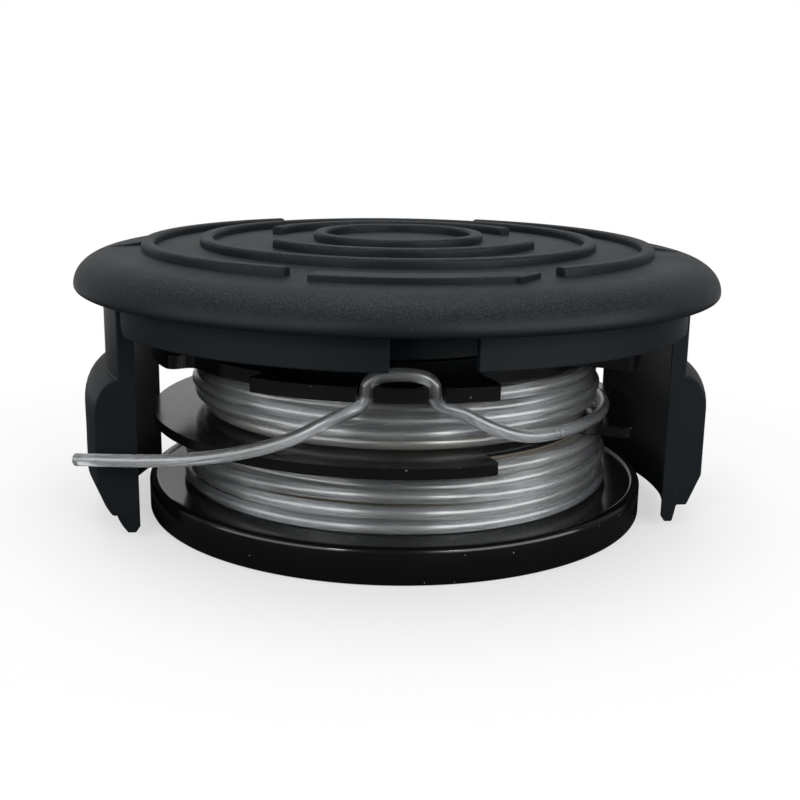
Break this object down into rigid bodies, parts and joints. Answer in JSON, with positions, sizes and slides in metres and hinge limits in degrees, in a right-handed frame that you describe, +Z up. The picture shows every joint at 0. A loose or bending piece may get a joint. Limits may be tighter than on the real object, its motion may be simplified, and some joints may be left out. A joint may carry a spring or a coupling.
{
  "type": "spool of trimmer line",
  "caption": "Two-chamber spool of nylon string-trimmer line under a clip-on cover with latch arms; the loose end is parked in notches in the spool's top flange.",
  "frame": {"origin": "on the spool's axis, at the face the base flange stands on", "axes": "+Z up along the spool's axis to the cover's ribbed top; X through the two latch arms; -Y to the side where the line is parked"},
  "size_m": [0.09, 0.09, 0.0393],
  "materials": {
    "spool_plastic": "glossy moulded",
    "nylon_line": "clear drawn monofilament",
    "cover_plastic": "fine moulded grain"
  },
  "bodies": {
    "root": {"spool": "spool_plastic", "lower_winding": "nylon_line", "upper_winding": "nylon_line", "line_tail": "nylon_line", "cover": "cover_plastic"}
  },
  "joints": []
}
